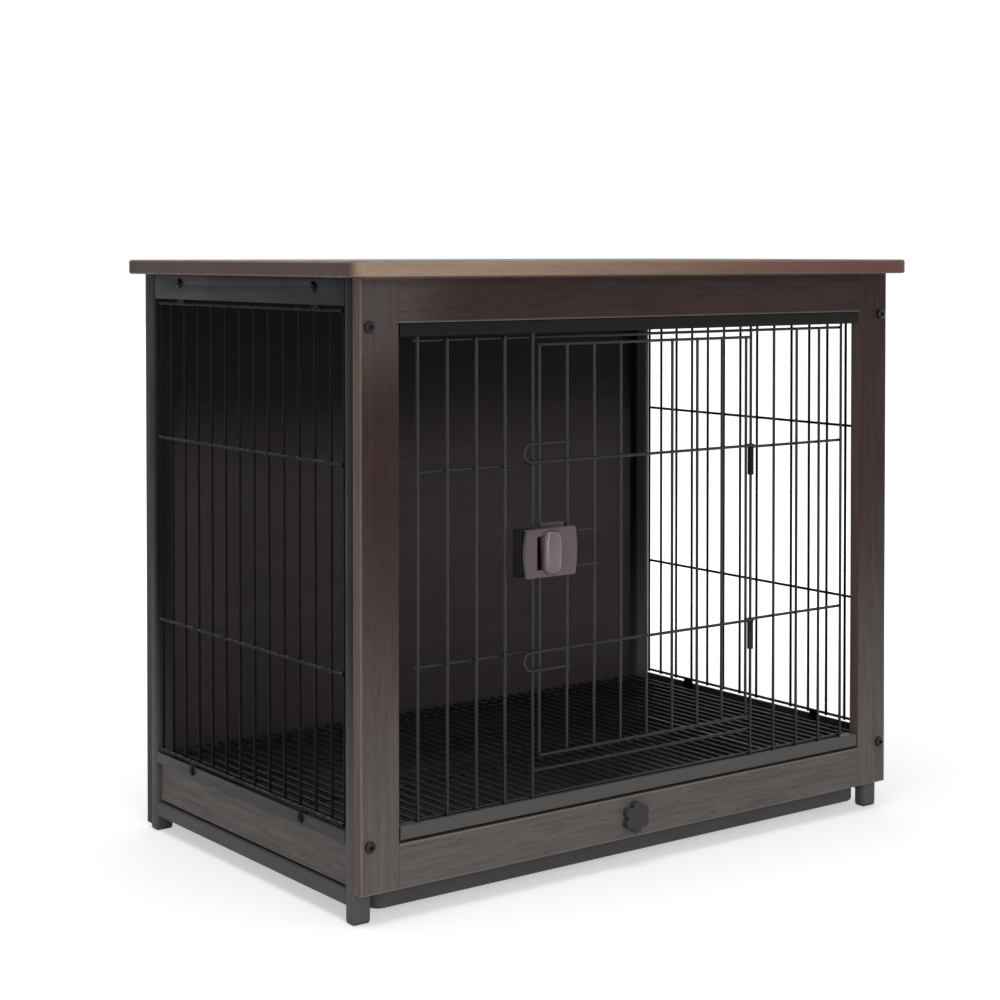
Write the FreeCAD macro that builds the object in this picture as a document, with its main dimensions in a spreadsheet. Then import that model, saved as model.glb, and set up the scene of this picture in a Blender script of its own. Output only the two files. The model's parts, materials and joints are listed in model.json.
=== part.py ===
import FreeCAD, Part
import Sketcher
import os
import re

# Furniture-style pet crate: a wooden top, front frame and back on two welded steel side frames,
# with wire panels, a hinged wire door, a sliding latch, a lift-out floor grate and a pull-out tray.
# Frame: +X to the right, +Y to the back, +Z up, origin on the floor under the middle of the top board.

doc = FreeCAD.newDocument("pet_crate")

# Driving sizes in millimetres
driving_sizes = {
    # Top board
    "board_length": "732",
    "board_depth": "443",
    "board_thickness": "15",
    "crate_height": "610",
    "side_overhang": "20",
    "front_overhang": "20",
    "board_corner": "20",
    "rear_corner": "3",
    "board_round": "2.5",
    # Wooden front frame and back
    "face_width": "42",
    "face_thickness": "13",
    "face_round": "0.8",
    "back_thickness": "9",
    "back_clearance": "5",
    "wood_clearance": "30",
    "dowel_radius": "3",
    "dowel_length": "30",
    "dowel_spread": "12",
    "fit_clearance": "0.05",
    # Steel side frames
    "post_width": "19",
    "post_depth": "14",
    "tube_wall": "1.2",
    "foot_base": "3",
    "foot_plug": "14",
    "plug_clearance": "0.1",
    "angle_sheet": "1.5",
    "top_angle_height": "26",
    "top_angle_flange": "26",
    "middle_level": "85",
    "middle_height": "11",
    "middle_flange": "20",
    "low_tube_bottom": "16.5",
    "low_tube_height": "14",
    "low_tube_depth": "13",
    # Lower side panels
    "lower_panel_bottom": "33",
    "lower_panel_thickness": "9",
    "lower_panel_recess": "4.5",
    "lower_panel_gap": "0.5",
    # Wire
    "wire_diameter": "3",
    "weld_depth": "0.3",
    # Side wire panels
    "side_wire_inset": "4.5",
    "side_wire_end": "7",
    "side_wire_margin": "29.35",
    "side_wire_drop": "5",
    "side_wire_rise": "4.5",
    "side_upper_drop": "147",
    "side_lower_level": "228.5",
    "tab_width": "14",
    "tab_thickness": "2",
    "tab_margin": "5",
    # Side panel screws
    "panel_screw_radius": "2",
    "panel_screw_length": "8",
    "panel_head_radius": "4",
    "panel_head_height": "2.4",
    "panel_nut_radius": "3.5",
    "panel_nut_height": "3",
    "top_screw_offset": "4.15",
    "top_screw_drop": "9.3",
    "low_screw_offset": "7.95",
    "low_screw_drop": "4.5",
    # Front bars
    "bar_height": "13",
    "bar_depth": "12",
    "bar_setback": "1",
    "bar_end_gap": "2",
    "bar_lift": "2.5",
    "strap_thickness": "2",
    "strap_height": "9",
    "strap_lap": "30",
    # Front wire panel
    "panel_end_gap": "24",
    "bay_width": "135",
    "front_wire_depth": "5",
    "front_top_drop": "4",
    "front_upper_drop": "127",
    "front_lower_level": "231",
    "sill_level": "114",
    # Door
    "door_gap": "7.5",
    "door_bottom": "130",
    "door_top_gap": "11",
    "door_forward": "0.6",
    "door_upper_drop": "125",
    "door_lower_level": "231",
    "loop_reach": "14.5",
    "loop_radius": "9",
    # Hinge sleeves
    "sleeve_length": "29",
    "sleeve_radius": "3.2",
    "sleeve_gap": "0.3",
    "eye_room": "2",
    # Latch
    "latch_lift": "5",
    "latch_left_reach": "19",
    "latch_width": "64",
    "latch_height": "47",
    "latch_bulge": "2.5",
    "latch_plate_thickness": "4.5",
    "latch_plate_round": "0.8",
    "latch_wire_spread": "17.5",
    "slide_gap": "0.3",
    "guide_gap": "0.4",
    "slide_travel": "6.4",
    "grip_width": "22",
    "grip_height": "42",
    "grip_proud": "7",
    "grip_round": "4",
    "grip_gap": "0.3",
    "neck_height": "32",
    "slot_start": "14.5",
    "slider_plate": "3",
    "slider_start": "23.5",
    "slider_width": "25",
    "slider_margin": "2",
    "bolt_plate": "2.2",
    "bolt_height": "20",
    "bolt_start": "17.5",
    "bolt_length": "30",
    "seat_start": "51",
    "boss_start": "55",
    "boss_radius": "3",
    "boss_spread": "10",
    "back_plate_start": "29",
    "back_plate_rise": "3",
    "back_plate_thickness": "2.8",
    "back_plate_trim": "2",
    "latch_screw_radius": "1.3",
    "latch_screw_length": "9",
    "latch_screw_head": "2.6",
    "latch_screw_head_height": "1.6",
    # Latch keeper
    "keeper_reach": "21",
    "keeper_height": "46",
    "keeper_round": "1.5",
    "keeper_lip": "2.4",
    "keeper_mouth_gap": "1",
    "keeper_pocket_depth": "13",
    "keeper_pocket_play": "0.6",
    "keeper_back": "3.2",
    "keeper_wrap": "3.2",
    # Tray and its runners
    "tray_side_gap": "0.6",
    "tray_flange": "5.5",
    "tray_flange_thickness": "2.2",
    "tray_wall": "2.5",
    "tray_floor": "2.5",
    "tray_bottom": "8",
    "tray_rim": "28.8",
    "tray_front_gap": "5",
    "tray_rear_gap": "4",
    "tray_corner": "14",
    "tray_round": "4",
    "runner_sheet": "1.5",
    "runner_drop": "8",
    "runner_overlap": "4",
    "rest_gap": "0.3",
    # Floor grate and its ledges
    "grate_side_gap": "5",
    "grate_wire": "3",
    "cross_wire": "4",
    "grate_level": "84",
    "grate_front_gap": "5",
    "grate_rear_gap": "9",
    "cross_inset": "4",
    "ledge_sheet": "1.5",
    "ledge_reach": "17",
    "ledge_height": "10",
    "ledge_end_gap": "10",
    # Front frame bolts and the weld nuts inside the posts
    "bolt_radius": "3",
    "bolt_head_radius": "5.5",
    "bolt_head_height": "3.2",
    "bolt_round": "1.8",
    "bolt_upper_drop": "45",
    "bolt_lower_level": "75",
    "bolt_tail": "2",
    "socket_radius": "2.2",
    "socket_depth": "2",
    "bolt_nut_radius": "5",
    "bolt_nut_height": "4.5",
    # Wood screws
    "wood_screw_radius": "1.8",
    "wood_head_radius": "3.8",
    "wood_head_height": "2.2",
    "wood_screw_bite": "10",
    "back_screw_margin": "45",
    "board_screw_inset": "15",
    "board_screw_margin": "35",
    "lower_screw_margin": "45",
    # Tray lock
    "knob_offset": "20",
    "knob_thickness": "7",
    "knob_core": "11.5",
    "lobe_radius": "5.5",
    "lobe_offset": "10.5",
    "knob_round": "1.2",
    "knob_gap": "0.3",
    "stud_radius": "3",
    "stud_tail": "4",
    "catch_width": "14",
    "catch_reach": "31",
    "catch_thickness": "2",
    "knob_nut_radius": "5",
    "knob_nut_height": "3",
    # Cuts run past the faces they open by this much
    "overrun": "2",
}
sheet = doc.addObject("Spreadsheet::Sheet", "sizes")
for row, (alias, text) in enumerate(driving_sizes.items(), start=1):
    sheet.set(f"A{row}", alias)
    sheet.set(f"B{row}", text)
    sheet.setAlias(f"B{row}", alias)
doc.recompute()

# Counts
bay_gaps = 4
door_gaps = 8
side_wires = 12
top_tab_gaps = 9
low_tab_gaps = 7
grate_gaps = 47
cross_gaps = 3
knob_lobes = 6
hex_sides = 6
corners = 4
sides = (("left", -1), ("right", 1))
ways = (-1, 1)

# Places worked out from the driving sizes, as expressions
half_frame = "(board_length / 2 - side_overhang)"
front_face = "(front_overhang - board_depth / 2)"
rear_face = "(board_depth / 2)"
board_under = "(crate_height - board_thickness)"
wood_back = f"({front_face} + face_thickness)"
back_front = f"({rear_face} - back_thickness)"
post_front_end = f"({wood_back} + post_depth)"
post_rear_start = f"({back_front} - post_depth)"
post_inner = f"({half_frame} - post_width)"
side_length = f"({post_rear_start} - {post_front_end})"
side_middle = f"(({post_rear_start} + {post_front_end}) / 2)"
half_side = f"({side_length} / 2)"
side_pitch = f"(({side_length} - 2 * side_wire_margin) / ({side_wires} - 1))"
wire_radius = "(wire_diameter / 2)"
weld_step = "(wire_diameter - weld_depth)"

x_axis = FreeCAD.Vector(1, 0, 0)
y_axis = FreeCAD.Vector(0, 1, 0)
z_axis = FreeCAD.Vector(0, 0, 1)
turns = {"x": FreeCAD.Rotation(y_axis, 90), "y": FreeCAD.Rotation(x_axis, -90), "z": FreeCAD.Rotation()}
alias_word = re.compile("[a-z_]+")
plane_touch = 1e-6
nodes = []


def sheet_name(word):
    return f"sizes.{word.group()}" if word.group() in driving_sizes else word.group()


def bind(thing, prop, text):
    thing.setExpression(prop, alias_word.sub(sheet_name, text))


def put(thing, place, turn=turns["z"]):
    thing.Placement = FreeCAD.Placement(FreeCAD.Vector(), turn)
    for axis, text in zip("xyz", place):
        bind(thing, f"Placement.Base.{axis}", text)


def node(name, thing):
    thing.Label = name
    nodes.append(thing)


# Solids from primitives and booleans
def block(low, size):
    box = doc.addObject("Part::Box", "block")
    for prop, text in zip(("Length", "Width", "Height"), size):
        bind(box, prop, text)
    put(box, low)
    return box


def rod(start, along, radius, length):
    cylinder = doc.addObject("Part::Cylinder", "rod")
    bind(cylinder, "Radius", radius)
    bind(cylinder, "Height", length)
    put(cylinder, start, turns[along])
    return cylinder


def cross_rod(low, high, level, plane, radius=wire_radius):
    return rod((low, plane, level), "x", radius, f"{high} - ({low})")


def hexagon(start, along, radius, length):
    prism = doc.addObject("Part::Prism", "hexagon")
    prism.Polygon = hex_sides
    bind(prism, "Circumradius", radius)
    bind(prism, "Height", length)
    put(prism, start, turns[along])
    return prism


def join(parts):
    whole = doc.addObject("Part::MultiFuse", "join")
    whole.Shapes = parts
    return whole


def group(parts):
    whole = doc.addObject("Part::Compound", "group")
    whole.Links = parts
    return whole


def cut(base, tools):
    rest = doc.addObject("Part::Cut", "cut")
    rest.Base = base
    rest.Tool = tools[0] if len(tools) == 1 else group(tools)
    return rest


def hole(start, along, radius, length):
    return rod(start, along, f"{radius} + fit_clearance", length)


def tube(low, size, along):
    inner_low = []
    inner_size = []
    for axis, start, length in zip("xyz", low, size):
        inner_low.append(f"{start} - overrun" if axis == along else f"{start} + tube_wall")
        inner_size.append(f"{length} + 2 * overrun" if axis == along else f"{length} - 2 * tube_wall")
    return cut(block(low, size), [block(inner_low, inner_size)])


# Solids from sketches: padded outlines with rounded edges
def origin_part(body, role):
    return next(item for item in body.Origin.OriginFeatures if item.Role == role)


def outline(body):
    sketch = body.newObject("Sketcher::SketchObject", "outline")
    sketch.AttachmentSupport = (origin_part(body, "XY_Plane"), [""])
    sketch.MapMode = "FlatFace"
    return sketch


def dimension(sketch, name, constraint, text):
    sketch.renameConstraint(sketch.addConstraint(constraint), name)
    bind(sketch, f"Constraints.{name}", text)


def rectangle(body, width, depth):
    sketch = outline(body)
    points = [FreeCAD.Vector(), x_axis, x_axis + y_axis, y_axis]
    for index, point in enumerate(points):
        sketch.addGeometry(Part.LineSegment(point, points[(index + 1) % corners]))
    for index in range(corners):
        sketch.addConstraint(Sketcher.Constraint("Coincident", index, 2, (index + 1) % corners, 1))
        sketch.addConstraint(Sketcher.Constraint("Vertical" if index % 2 else "Horizontal", index))
    sketch.addConstraint(Sketcher.Constraint("Coincident", 0, 1, -1, 1))
    dimension(sketch, "width", Sketcher.Constraint("DistanceX", 0, 1, 0, 2, 1), width)
    dimension(sketch, "depth", Sketcher.Constraint("DistanceY", 1, 1, 1, 2, 1), depth)
    return sketch


def disc(body, radius, offset=None):
    sketch = outline(body)
    sketch.addGeometry(Part.Circle(y_axis if offset else FreeCAD.Vector(), z_axis, 1))
    dimension(sketch, "radius", Sketcher.Constraint("Radius", 0, 1), radius)
    if offset:
        sketch.addConstraint(Sketcher.Constraint("PointOnObject", 0, 3, -2))
        dimension(sketch, "offset", Sketcher.Constraint("DistanceY", -1, 1, 0, 3, 1), offset)
    else:
        sketch.addConstraint(Sketcher.Constraint("Coincident", 0, 3, -1, 1))
    return sketch


def pad(body, sketch, length):
    solid = body.newObject("PartDesign::Pad", "pad")
    solid.Profile = sketch
    bind(solid, "Length", length)
    doc.recompute()
    return solid


def fillet(body, feature, wanted, radius):
    edges = enumerate(feature.Shape.Edges, start=1)
    rounded = body.newObject("PartDesign::Fillet", "fillet")
    rounded.Base = (feature, [f"Edge{number}" for number, edge in edges if wanted(edge.BoundBox)])
    bind(rounded, "Radius", radius)
    doc.recompute()
    return rounded


def upright(box):
    return box.ZLength > box.XLength + box.YLength


def level(box):
    return not upright(box)


def curved(box):
    return box.XLength + box.YLength > plane_touch


def lowest(box):
    return box.ZMax < plane_touch


def foremost(box):
    return box.YMin < plane_touch


def front_upright(box):
    return upright(box) and foremost(box)


def rear_upright(box):
    return upright(box) and not curved(box) and not foremost(box)


def every(box):
    return True


def board(low, size, rounds):
    body = doc.addObject("PartDesign::Body", "board")
    put(body, low)
    solid = pad(body, rectangle(body, size[0], size[1]), size[2])
    for wanted, radius in rounds:
        solid = fillet(body, solid, wanted, radius)
    return body


# Places measured inwards from the outer face of the left or right side frame
def flank(sign, inset, width):
    return f"-{half_frame} + ({inset})" if sign < 0 else f"{half_frame} - ({inset}) - ({width})"


def flank_point(sign, inset):
    return f"{sign} * ({half_frame} - ({inset}))"


# Wooden front frame: two stiles with the rails butted between them on dowels
stile_inner = f"({half_frame} - face_width)"
panel_half = f"({stile_inner} - panel_end_gap)"
jamb_half = f"({panel_half} - bay_width)"
rail_lows = {"front_top_rail": f"({board_under} - face_width)", "front_bottom_rail": "wood_clearance"}
dowel_depth = f"({front_face} + face_thickness / 2)"
bolt_levels = (f"({board_under} - bolt_upper_drop)", "bolt_lower_level")
bolt_inset = "(post_width / 2)"
knob_x = "(-knob_offset)"
knob_z = "(wood_clearance + face_width / 2)"


def dowel_levels(rail):
    return [f"{rail_lows[rail]} + face_width / 2 + {way} * dowel_spread" for way in ways]


def dowel(sign, height, room):
    start = f"{sign} * {stile_inner} - dowel_length / 2 - {room}"
    return rod((start, dowel_depth, height), "x", f"dowel_radius + {room}", f"dowel_length + 2 * {room}")


all_dowel_levels = [height for rail in rail_lows for height in dowel_levels(rail)]
for side, sign in sides:
    stile = board(
        (flank(sign, "0", "face_width"), front_face, "wood_clearance"),
        ("face_width", "face_thickness", f"{board_under} - wood_clearance"),
        [(every, "face_round")],
    )
    holes = [dowel(sign, height, "fit_clearance") for height in all_dowel_levels]
    for height in bolt_levels:
        start = (flank_point(sign, bolt_inset), f"{front_face} - overrun", height)
        holes.append(hole(start, "y", "bolt_radius", "face_thickness + 2 * overrun"))
    node(f"front_{side}_stile", cut(stile, holes))

for name, low in rail_lows.items():
    rail = board(
        (f"-{stile_inner}", front_face, low),
        (f"2 * {stile_inner}", "face_thickness", "face_width"),
        [(every, "face_round")],
    )
    holes = [dowel(sign, height, "fit_clearance") for _, sign in sides for height in dowel_levels(name)]
    if name == "front_bottom_rail":
        start = (knob_x, f"{front_face} - overrun", knob_z)
        holes.append(hole(start, "y", "stud_radius", "face_thickness + 2 * overrun"))
    node(name, cut(rail, holes))

node("rail_dowels", group([dowel(sign, height, "0") for _, sign in sides for height in all_dowel_levels]))

# Steel side frames: square posts on plastic feet
post_height = f"({board_under} - foot_base)"
back_screw_levels = [
    "wood_clearance + back_screw_margin",
    f"(wood_clearance + {board_under}) / 2",
    f"{board_under} - back_screw_margin",
]
back_screw_tip = f"({back_front} - wood_screw_bite)"
plug_inset = "(tube_wall + plug_clearance)"

for side, sign in sides:
    post_x = flank(sign, "0", "post_width")
    middle_x = flank_point(sign, "post_width / 2")
    front_post = tube((post_x, wood_back, "foot_base"), ("post_width", "post_depth", post_height), "z")
    bolt_holes = [
        hole((middle_x, f"{wood_back} - overrun", height), "y", "bolt_radius", "tube_wall + 2 * overrun")
        for height in bolt_levels
    ]
    node(f"front_{side}_post", cut(front_post, bolt_holes))
    rear_post = tube((post_x, post_rear_start, "foot_base"), ("post_width", "post_depth", post_height), "z")
    screw_holes = [
        hole((middle_x, back_screw_tip, height), "y", "wood_screw_radius", "wood_screw_bite + overrun")
        for height in back_screw_levels
    ]
    node(f"rear_{side}_post", cut(rear_post, screw_holes))
    for end, post_y in (("front", wood_back), ("rear", post_rear_start)):
        base = block((post_x, post_y, "0"), ("post_width", "post_depth", "foot_base"))
        plug = block(
            (f"{post_x} + {plug_inset}", f"{post_y} + {plug_inset}", "foot_base"),
            (f"post_width - 2 * {plug_inset}", f"post_depth - 2 * {plug_inset}", "foot_plug"),
        )
        node(f"{end}_{side}_foot", join([base, plug]))

# Angles, lower tubes and lower wooden panels between the posts
angle_low = f"({board_under} - top_angle_height)"
middle_low = "(middle_level - middle_height)"
panel_middle = "(lower_panel_recess + lower_panel_thickness / 2)"
top_screw_level = f"({board_under} - top_screw_drop)"
low_screw_level = "(middle_level - low_screw_drop)"
top_reach = f"({top_tab_gaps} * {side_pitch} / 2 + top_screw_offset)"
low_reach = f"({low_tab_gaps} * {side_pitch} / 2 + low_screw_offset)"
top_screws = [(f"{side_middle} + {way} * {top_reach}", top_screw_level) for way in ways]
low_screws = [(f"{side_middle} + {way} * {low_reach}", low_screw_level) for way in ways]
board_screws = [
    (flank_point(sign, "board_screw_inset"), f"{side_middle} + {way} * ({half_side} - board_screw_margin)")
    for _, sign in sides for way in ways
]
lower_screws = [
    (flank_point(sign, panel_middle), f"{side_middle} + {way} * ({half_side} - lower_screw_margin)")
    for _, sign in sides for way in ways
]


def side_hole(sign, place, inset, depth):
    start = flank(sign, f"{inset} - overrun", f"{depth} + 2 * overrun")
    return hole((start, *place), "x", "panel_screw_radius", f"{depth} + 2 * overrun")


def wood_screw_hole(place, low, length):
    return hole((*place, low), "z", "wood_screw_radius", length)


def side_angle(sign, low, height, flange, flange_low):
    leg = block((flank(sign, "0", "angle_sheet"), post_front_end, low), ("angle_sheet", side_length, height))
    shelf_low = (flank(sign, "0", flange), post_front_end, flange_low)
    shelf = block(shelf_low, (flange, side_length, "angle_sheet"))
    return join([leg, shelf])


for position, (side, sign) in enumerate(sides):
    own_board_screws = board_screws[2 * position:2 * position + 2]
    own_lower_screws = lower_screws[2 * position:2 * position + 2]
    top_flange = f"({board_under} - angle_sheet)"
    top_angle = side_angle(sign, angle_low, "top_angle_height", "top_angle_flange", top_flange)
    holes = [side_hole(sign, place, "0", "angle_sheet") for place in top_screws]
    for place in own_board_screws:
        holes.append(wood_screw_hole(place, f"{top_flange} - overrun", "angle_sheet + 2 * overrun"))
    node(f"{side}_top_angle", cut(top_angle, holes))

    middle_angle = side_angle(sign, middle_low, "middle_height", "middle_flange", middle_low)
    holes = [side_hole(sign, place, "0", "angle_sheet") for place in low_screws]
    for place in own_lower_screws:
        holes.append(wood_screw_hole(place, f"{middle_low} - overrun", "angle_sheet + 2 * overrun"))
    node(f"{side}_middle_angle", cut(middle_angle, holes))

    tube_low = (flank(sign, "0", "low_tube_depth"), post_front_end, "low_tube_bottom")
    node(f"{side}_lower_tube", tube(tube_low, ("low_tube_depth", side_length, "low_tube_height"), "y"))

    panel_x = flank(sign, "lower_panel_recess", "lower_panel_thickness")
    panel_length = f"{side_length} - 2 * lower_panel_gap"
    panel = board(
        (panel_x, f"{post_front_end} + lower_panel_gap", "lower_panel_bottom"),
        ("lower_panel_thickness", panel_length, f"{middle_low} - lower_panel_bottom"),
        [(every, "face_round")],
    )
    holes = [
        wood_screw_hole(place, f"{middle_low} - wood_screw_bite", "wood_screw_bite + overrun")
        for place in own_lower_screws
    ]
    node(f"{side}_lower_panel", cut(panel, holes))


# Side wire panels: uprights between two frame wires, with outer cross wires and four screw tabs
def side_panel(sign):
    upright_x = flank_point(sign, "side_wire_inset")
    cross_x = flank_point(sign, f"side_wire_inset - {weld_step}")
    top_wire = f"({angle_low} - side_wire_drop)"
    low_wire = "(middle_level + side_wire_rise)"
    first = f"({post_front_end} + side_wire_end)"
    last = f"({post_rear_start} - side_wire_end)"
    places = [first, last]
    for index in range(side_wires):
        places.append(f"{post_front_end} + side_wire_margin + {index} * {side_pitch}")
    height = f"{top_wire} - {low_wire} + wire_diameter"
    foot = f"{low_wire} - {wire_radius}"
    parts = [rod((upright_x, place, foot), "z", wire_radius, height) for place in places]
    for level_z in (top_wire, f"({angle_low} - side_upper_drop)", "side_lower_level", low_wire):
        start = (cross_x, f"{first} - {wire_radius}", level_z)
        parts.append(rod(start, "y", wire_radius, f"{last} - {first} + wire_diameter"))
    tab_x = flank(sign, "angle_sheet", "tab_thickness")
    spans = [(y, top_wire, f"({z} + tab_margin)") for y, z in top_screws]
    spans += [(y, f"({z} - tab_margin / 2)", low_wire) for y, z in low_screws]
    for y, low, high in spans:
        tab_low = (tab_x, f"{y} - tab_width / 2", low)
        parts.append(block(tab_low, ("tab_thickness", "tab_width", f"{high} - {low}")))
    holes = [side_hole(sign, place, "angle_sheet", "tab_thickness") for place in top_screws + low_screws]
    return cut(join(parts), holes)


def panel_screw(sign, place):
    head_x = flank(sign, "0 - panel_head_height", "panel_head_height")
    shank_x = flank(sign, "0", "panel_screw_length")
    head = rod((head_x, *place), "x", "panel_head_radius", "panel_head_height")
    return join([head, rod((shank_x, *place), "x", "panel_screw_radius", "panel_screw_length")])


def panel_nut(sign, place):
    inset = "(angle_sheet + tab_thickness)"
    start = (flank(sign, inset, "panel_nut_height"), *place)
    nut = hexagon(start, "x", "panel_nut_radius", "panel_nut_height")
    return cut(nut, [side_hole(sign, place, inset, "panel_nut_height")])


for side, sign in sides:
    node(f"{side}_wire_panel", side_panel(sign))
panel_screw_places = [(sign, place) for _, sign in sides for place in top_screws + low_screws]
node("side_panel_screws", group([panel_screw(sign, place) for sign, place in panel_screw_places]))
node("side_panel_nuts", group([panel_nut(sign, place) for sign, place in panel_screw_places]))

# Top board, screwed on from below through the top angles
top_board = board(
    ("-board_length / 2", "-board_depth / 2", board_under),
    ("board_length", "board_depth", "board_thickness"),
    [(front_upright, "board_corner"), (rear_upright, "rear_corner"), (level, "board_round")],
)
bite_depth = "wood_screw_bite + overrun"
holes = [wood_screw_hole(place, f"{board_under} - overrun", bite_depth) for place in board_screws]
node("top_board", cut(top_board, holes))
screw_shank = "(angle_sheet + wood_screw_bite - fit_clearance)"


def wood_screw(place, seat, way):
    head_low = f"{seat} - wood_head_height" if way > 0 else seat
    shank_low = seat if way > 0 else f"{seat} - {screw_shank}"
    head = rod((*place, head_low), "z", "wood_head_radius", "wood_head_height")
    return join([head, rod((*place, shank_low), "z", "wood_screw_radius", screw_shank)])


board_seat = f"({board_under} - angle_sheet)"
lower_seat = f"({middle_low} + angle_sheet)"
node("top_board_screws", group([wood_screw(place, board_seat, 1) for place in board_screws]))
node("lower_panel_screws", group([wood_screw(place, lower_seat, -1) for place in lower_screws]))


# Back panel with countersunk screws into the rear posts
def countersunk(x, z, room):
    head = doc.addObject("Part::Cone", "head")
    bind(head, "Radius1", f"wood_screw_radius + {room}")
    bind(head, "Radius2", f"wood_head_radius + {room}")
    bind(head, "Height", "wood_head_height")
    put(head, (x, f"{rear_face} - wood_head_height", z), turns["y"])
    start = (x, f"{back_screw_tip} + fit_clearance - {room}", z)
    shank_length = "back_thickness + wood_screw_bite - wood_head_height / 2 - fit_clearance"
    return join([head, rod(start, "y", f"wood_screw_radius + {room}", shank_length)])


back_screws = [
    (flank_point(sign, "post_width / 2"), height) for _, sign in sides for height in back_screw_levels
]
back_board = board(
    (f"-{half_frame}", back_front, "back_clearance"),
    (f"2 * {half_frame}", "back_thickness", f"{board_under} - back_clearance"),
    [(every, "face_round")],
)
node("back_panel", cut(back_board, [countersunk(x, z, "fit_clearance") for x, z in back_screws]))
node("back_panel_screws", group([countersunk(x, z, "0") for x, z in back_screws]))

# Front bars across the opening, each strapped to both front posts
bar_half = f"({stile_inner} - bar_end_gap)"
bar_front = f"({front_face} + bar_setback)"
bar_back = f"({bar_front} + bar_depth)"
top_bar_low = f"({board_under} - face_width - bar_height)"
bottom_bar_low = "(wood_clearance + face_width + bar_lift)"
strap_length = f"({post_inner} - {bar_half} + strap_lap)"
straps = []
for name, low in (("front_top_bar", top_bar_low), ("front_bottom_bar", bottom_bar_low)):
    node(name, tube((f"-{bar_half}", bar_front, low), (f"2 * {bar_half}", "bar_depth", "bar_height"), "x"))
    strap_low = f"{low} + bar_height / 2 - strap_height / 2"
    for start in (f"-{post_inner}", f"{bar_half} - strap_lap"):
        straps.append(block((start, bar_back, strap_low), (strap_length, "strap_thickness", "strap_height")))
node("front_bar_straps", group(straps))

# Front wire panel: two wired bays beside the doorway, with cross wires behind the uprights
front_plane = f"({front_face} + front_wire_depth)"
cross_plane = f"({front_plane} + wire_diameter)"
panel_low = f"({bottom_bar_low} + bar_height)"
panel_high = top_bar_low
low_wire = f"({panel_low} + {wire_radius})"
high_wire = f"({panel_high} - front_top_drop)"
bay_pitch = f"(bay_width / {bay_gaps})"
panel_end = f"({panel_half} + {wire_radius})"
jamb_end = f"({jamb_half} - {wire_radius})"
bay_start = f"({jamb_half} + door_forward + wire_diameter + {wire_radius} + eye_room)"
front_wires = []
for _, sign in sides:
    for index in range(bay_gaps + 1):
        full_height = index in (0, bay_gaps)
        low = panel_low if full_height else f"({low_wire} - {wire_radius})"
        high = panel_high if full_height else f"({high_wire} + {wire_radius})"
        start = (f"{sign} * ({jamb_half} + {index} * {bay_pitch})", front_plane, low)
        front_wires.append(rod(start, "z", wire_radius, f"{high} - {low}"))
    low_x, high_x = (f"-{panel_end}", f"-{jamb_end}") if sign < 0 else (bay_start, panel_end)
    for height in (f"({panel_high} - front_upper_drop)", "front_lower_level"):
        front_wires.append(cross_rod(low_x, high_x, height, cross_plane))
sill_end = f"({jamb_half} + {wire_radius})"
for end, height in ((panel_end, high_wire), (panel_end, low_wire), (sill_end, "sill_level")):
    front_wires.append(cross_rod(f"-{end}", end, height, cross_plane))
node("front_wire_panel", group(front_wires))

# Door: uprights just ahead of the jambs, with two long cross wires in front that end in a stop loop on the
# left and in an eye round the jamb wire on the right
door_half = f"({jamb_half} - door_gap)"
door_top = f"({panel_high} - door_top_gap)"
door_upper_level = f"({panel_high} - door_upper_drop)"
door_end = f"({door_half} + {wire_radius})"
door_plane = f"({front_plane} - door_forward)"
door_front = f"({door_plane} - {weld_step})"
door_pitch = f"(2 * {door_half} / {door_gaps})"
loop_x = f"(-{jamb_half} - loop_reach + loop_radius + wire_diameter / 2)"
eye_radius = f"(door_forward + {weld_step})"
loop_turn = FreeCAD.Rotation(z_axis, -x_axis, -y_axis, "XYZ")


def long_cross_wire(height, way):
    bend = doc.addObject("Part::Torus", "bend")
    bind(bend, "Radius1", "loop_radius")
    bind(bend, "Radius2", wire_radius)
    bend.Angle3 = 180
    put(bend, (loop_x, door_front, f"{height} + {way} * loop_radius"), loop_turn)
    second_upright = f"(-{door_half} + {door_pitch} + {wire_radius})"
    eye = doc.addObject("Part::Torus", "eye")
    bind(eye, "Radius1", eye_radius)
    bind(eye, "Radius2", wire_radius)
    put(eye, (jamb_half, front_plane, height))
    return [
        cross_rod(loop_x, f"{jamb_half} - {wire_radius} / 2", height, door_front),
        eye,
        bend,
        cross_rod(loop_x, second_upright, f"{height} + {way} * 2 * loop_radius", door_front),
    ]


door_wires = []
for index in range(door_gaps + 1):
    start = (f"-{door_half} + {index} * {door_pitch}", door_plane, f"door_bottom - {wire_radius}")
    door_wires.append(rod(start, "z", wire_radius, f"{door_top} - door_bottom + wire_diameter"))
for height in ("door_bottom", door_top):
    door_wires.append(cross_rod(f"-{door_end}", door_end, height, door_front))
door_wires += long_cross_wire(door_upper_level, 1) + long_cross_wire("door_lower_level", -1)
latch_middle = f"(({door_upper_level} + door_lower_level) / 2 + latch_lift)"
for way in ways:
    third_upright = f"(-{door_half} + 2 * {door_pitch} + {wire_radius})"
    height = f"{latch_middle} + {way} * latch_wire_spread"
    door_wires.append(cross_rod(f"-{door_end}", third_upright, height, door_front))
node("door_wire_frame", join(door_wires))

# Hinge sleeves: plastic spacers fast on the right jamb wire, one under each eye of the door
for name, eye_level in (("upper_hinge_sleeve", door_upper_level), ("lower_hinge_sleeve", "door_lower_level")):
    sleeve_low = f"({eye_level} - {wire_radius} - sleeve_gap - sleeve_length)"
    sleeve = rod((jamb_half, front_plane, sleeve_low), "z", "sleeve_radius", "sleeve_length")
    bore_low = (jamb_half, front_plane, f"{sleeve_low} - overrun")
    bore = hole(bore_low, "z", wire_radius, "sleeve_length + 2 * overrun")
    node(name, cut(sleeve, [bore]))

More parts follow.
